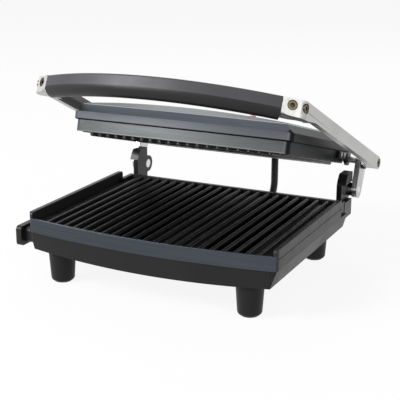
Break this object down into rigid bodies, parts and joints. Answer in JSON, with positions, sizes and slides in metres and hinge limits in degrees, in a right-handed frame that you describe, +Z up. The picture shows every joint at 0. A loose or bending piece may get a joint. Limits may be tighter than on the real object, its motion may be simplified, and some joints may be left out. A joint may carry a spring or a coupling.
{
  "type": "panini press",
  "caption": "Panini press with a bowed front, ribbed plates, four round feet, a drip tray at the side, and a lid on two arms with a bowed grip that swings on links.",
  "frame": {"origin": "middle of the bounding box seen from above, at the height of the table", "axes": "+Z up, front towards -Y, +X to the right as seen from the front"},
  "size_m": [0.3568, 0.3133, 0.2519],
  "materials": {
    "housing": "satin",
    "frame": "satin",
    "trim": "brushed",
    "sheet": "satin",
    "grill": "cast, with a black non-stick coating",
    "heater": "dull",
    "shield": "bright rolled",
    "foot": "fine texture",
    "pad": "matt",
    "fixings": "zinc plated",
    "post": "satin",
    "chromed": "polished",
    "link": "satin",
    "bush": "smooth",
    "ceramic": "glazed",
    "terminals": "smooth",
    "lead": "sheathed",
    "lead_bush": "matt",
    "lid_black": "satin",
    "skirt": "brushed",
    "cover": "brushed",
    "panel": "brushed",
    "arm": "satin",
    "grip": "fine texture",
    "core": "plain",
    "bolt": "burnished",
    "lens": "tinted clear",
    "holder": "smooth"
  },
  "bodies": {
    "base": {"base_housing": "housing", "base_frame": "frame", "front_trim": "trim", "bottom_plate": "sheet", "lower_plate": "grill", "lower_element": "heater", "lower_reflector": "shield", "foot_front_left": "foot", "foot_front_right": "foot", "foot_back_left": "foot", "foot_back_right": "foot", "foot_pads": "pad", "foot_screws": "fixings", "housing_screws": "fixings", "post_left": "post", "post_right": "post", "post_screws": "fixings", "hinge_spacer_left": "chromed", "hinge_spacer_right": "chromed", "hinge_pin_left": "chromed", "hinge_pin_right": "chromed", "thermostat": "ceramic", "thermal_fuse": "ceramic", "terminal_block": "terminals", "cord_bush": "lead_bush", "lead_bush_base": "lead_bush", "lid_lead": "lead"},
    "tray": {"drip_tray": "housing"},
    "links": {"link_left": "link", "link_right": "link"},
    "bushes": {"pivot_bush_left": "bush", "pivot_bush_right": "bush"},
    "lid": {"lid_frame": "skirt", "skirt_trim": "skirt", "lid_cover": "cover", "top_panel": "panel", "upper_plate": "grill", "upper_element": "heater", "upper_reflector": "shield", "upper_cutout": "ceramic", "lid_bracket_left": "lid_black", "lid_bracket_right": "lid_black", "shaft_left": "link", "shaft_right": "link", "lid_screws": "fixings", "arm_left": "arm", "arm_right": "arm", "handle_grip": "grip", "handle_core": "core", "front_bolts": "bolt", "side_bolts": "bolt", "shaft_bolts": "bolt", "lamp_lens": "lens", "lamp_holder": "holder", "lead_bush_lid": "lead_bush"}
  },
  "joints": [
    {"name": "link_swing", "type": "hinge", "parent": "base", "child": "links", "pos_m": [0, 0.12102, 0.0815], "axis": [1, 0, 0], "range_deg": [0, 108], "deforming": ["lid_lead"]},
    {"name": "pin_level", "type": "hinge", "parent": "links", "child": "bushes", "pos_m": [0, 0.136, 0.11451], "axis": [1, 0, 0], "range_deg": [-109, 1]},
    {"name": "lid_tilt", "type": "hinge", "parent": "bushes", "child": "lid", "pos_m": [0, 0.136, 0.11451], "axis": [1, 0, 0], "range_deg": [-65, 15.5]},
    {"name": "tray_slide", "type": "slide", "parent": "base", "child": "tray", "axis": [-1, 0, 0], "range_m": [0, 0.12]}
  ],
  "couplings": [
    {"joint": "pin_level", "follows": "link_swing", "ratio": -1}
  ]
}
